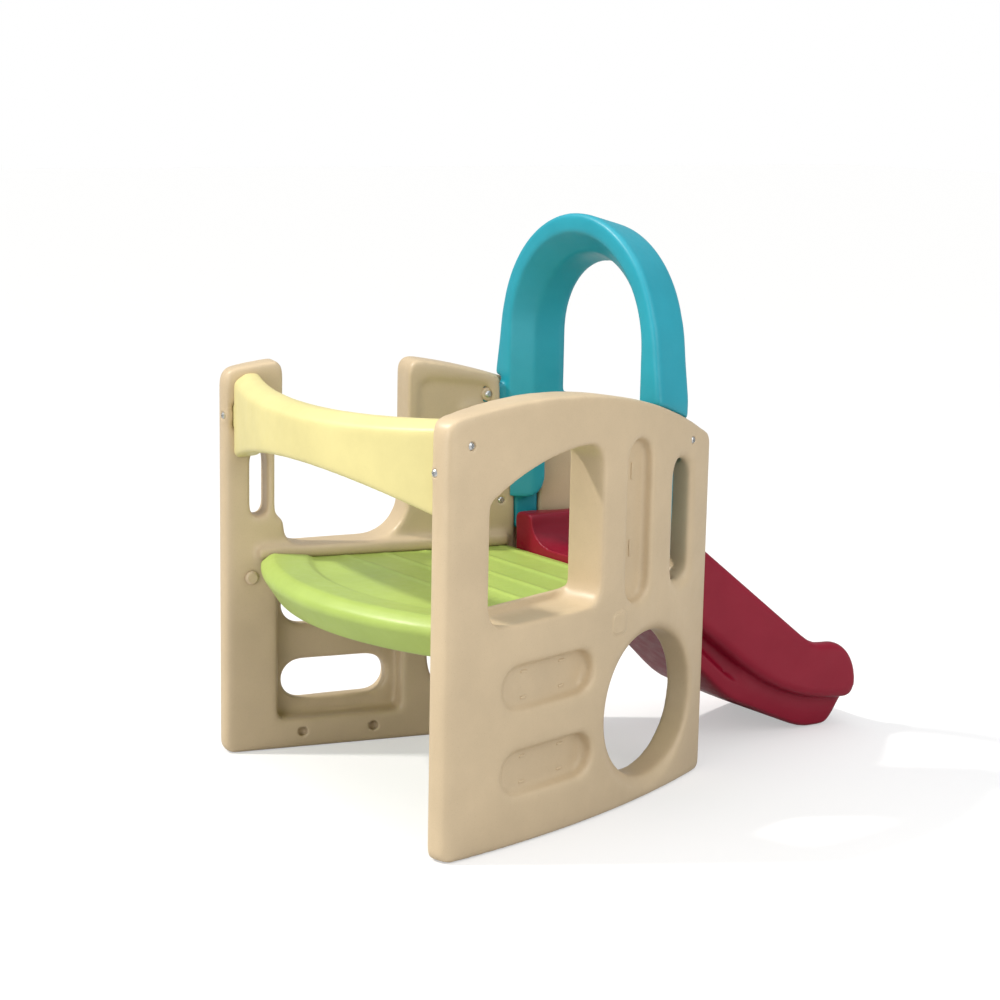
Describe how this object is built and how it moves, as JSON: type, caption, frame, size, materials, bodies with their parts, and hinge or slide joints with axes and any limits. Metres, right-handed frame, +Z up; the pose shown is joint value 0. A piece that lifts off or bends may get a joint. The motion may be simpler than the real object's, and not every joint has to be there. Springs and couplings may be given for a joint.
{
  "type": "toddler slide",
  "caption": "Toddler climber with a chute: two splayed side panels, a hand rail, a platform, an arch over the slide's entry, and a foothold side to climb.",
  "frame": {"origin": "on the floor, at the centre of the bounding box's base", "axes": "+Z up, +Y the way the slide descends, +X towards the right panel"},
  "size_m": [0.866, 1.372, 1.161],
  "materials": {
    "panel": "fine moulded grain",
    "rail": "fine moulded grain",
    "platform": "fine moulded grain",
    "arch": "fine moulded grain",
    "slide": "smooth satin",
    "screw": "zinc plated",
    "plug": "smooth"
  },
  "bodies": {
    "root": {"left_panel": "panel", "right_panel": "panel", "front_rail": "rail", "platform": "platform", "arch": "arch", "slide": "slide", "rail_face_screws": "screw", "rail_edge_screws": "screw", "arch_outer_screws": "screw", "arch_upper_screws": "screw", "arch_lower_screws": "screw", "platform_plugs": "plug"}
  },
  "joints": []
}
